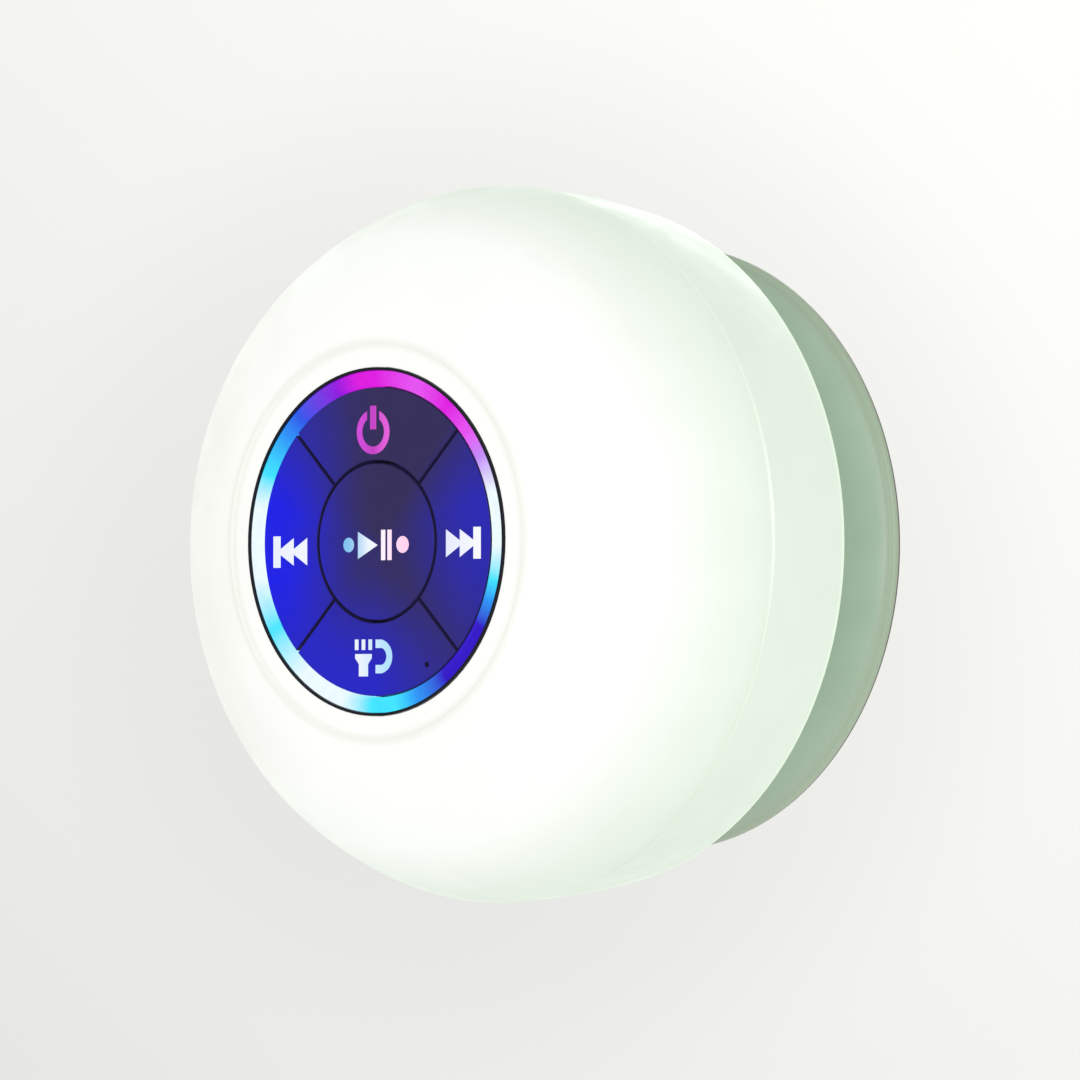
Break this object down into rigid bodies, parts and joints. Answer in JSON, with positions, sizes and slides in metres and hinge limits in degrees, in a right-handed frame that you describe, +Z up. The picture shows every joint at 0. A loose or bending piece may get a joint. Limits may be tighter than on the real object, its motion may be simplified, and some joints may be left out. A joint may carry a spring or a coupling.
{
  "type": "shower speaker",
  "caption": "Round wall speaker with a lit milky dome, a ringed key panel on its front and a suction cup that it turns on.",
  "frame": {"origin": "centre of the suction cup's mouth, on the wall", "axes": "+Y into the wall along the speaker's axis, the key panel faces -Y, +Z up"},
  "size_m": [0.086, 0.053, 0.086],
  "materials": {
    "dome": "satin, milky",
    "band": "satin",
    "cup": "translucent",
    "panel_black": "satin",
    "key": "satin",
    "symbol": "lit",
    "light_ring": "lit diffuser",
    "black_plastic": "moulded",
    "white_plastic": "moulded",
    "steel": "zinc plated",
    "board": "solder mask",
    "chip": "moulded",
    "lamp": "clear",
    "shield": "tinned",
    "ferrite": "sintered",
    "cell": "foil pouch",
    "foam": "open cell",
    "mesh": "woven",
    "paper_cone": "pressed pulp",
    "spider_cloth": "resin cloth",
    "copper": "enamelled wire",
    "silicone": "moulded",
    "port_rubber": "moulded",
    "black_rubber": "moulded",
    "wire": "pvc"
  },
  "bodies": {
    "suction_cup": {"suction_cup": "cup"},
    "cup_stud": {"cup_stud": "white_plastic"},
    "key_play": {"key_play": "key", "symbol_play": "symbol"},
    "key_power": {"key_power": "key", "symbol_power": "symbol"},
    "key_next": {"key_next": "key", "symbol_next": "symbol"},
    "key_lamp": {"key_lamp": "key", "symbol_lamp": "symbol"},
    "key_previous": {"key_previous": "key", "symbol_previous": "symbol"},
    "housing": {"acoustic_mesh": "mesh", "amplifier_chip": "chip", "battery": "cell", "battery_leads": "wire", "battery_pad": "foam", "bezel": "panel_black", "board_connector": "chip", "board_screws": "steel", "carrier_screws": "steel", "charge_board": "board", "charge_board_screws": "steel", "charge_leads": "wire", "charge_socket": "shield", "cone_surround": "black_rubber", "control_board": "board", "dome_lamps": "lamp", "driver_basket": "black_plastic", "driver_gasket": "foam", "driver_screws": "steel", "front_dome": "dome", "housing_screws": "steel", "key_membrane": "silicone", "light_ring": "light_ring", "magnet": "ferrite", "main_board": "board", "microphone": "shield", "microphone_boot": "black_rubber", "panel_carrier": "black_plastic", "port_cover_anchor": "port_rubber", "rear_shell": "band", "retainer_screws": "steel", "ring_lamps": "lamp", "seam_gasket": "silicone", "speaker_leads": "wire", "spider": "spider_cloth", "stud_retainer": "white_plastic", "tact_switches": "chip", "terminal_strip": "board", "top_plate": "steel", "wireless_module": "shield", "yoke": "steel"},
    "cone": {"cone": "paper_cone", "dust_cap": "paper_cone", "coil_former": "spider_cloth", "voice_coil": "copper"},
    "port_cover": {"port_cover": "port_rubber"}
  },
  "joints": [
    {"name": "cup_press", "type": "slide", "parent": "suction_cup", "child": "cup_stud", "axis": [0, 1, 0], "range_m": [0, 0.005], "stiffness_N_per_m": 4000, "deforming": ["suction_cup"]},
    {"name": "housing_swivel", "type": "hinge", "parent": "cup_stud", "child": "housing", "pos_m": [0, -0.016, 0], "axis": [0, 1, 0], "continuous": true},
    {"name": "key_play_press", "type": "slide", "parent": "housing", "child": "key_play", "axis": [0, 1, 0], "range_m": [0, 0.0005], "stiffness_N_per_m": 1000},
    {"name": "key_power_press", "type": "slide", "parent": "housing", "child": "key_power", "axis": [0, 1, 0], "range_m": [0, 0.0005], "stiffness_N_per_m": 1000},
    {"name": "key_next_press", "type": "slide", "parent": "housing", "child": "key_next", "axis": [0, 1, 0], "range_m": [0, 0.0005], "stiffness_N_per_m": 1000},
    {"name": "key_lamp_press", "type": "slide", "parent": "housing", "child": "key_lamp", "axis": [0, 1, 0], "range_m": [0, 0.0005], "stiffness_N_per_m": 1000},
    {"name": "key_previous_press", "type": "slide", "parent": "housing", "child": "key_previous", "axis": [0, 1, 0], "range_m": [0, 0.0005], "stiffness_N_per_m": 1000},
    {"name": "cone_travel", "type": "slide", "parent": "housing", "child": "cone", "axis": [0, 1, 0], "range_m": [-0.0008, 0.0008], "stiffness_N_per_m": 1500, "deforming": ["cone_surround", "spider"]},
    {"name": "port_cover_swing", "type": "hinge", "parent": "housing", "child": "port_cover", "pos_m": [-0.0421, -0.023, 0.00715], "axis": [0, 1, 0], "range_deg": [0, 110]}
  ]
}
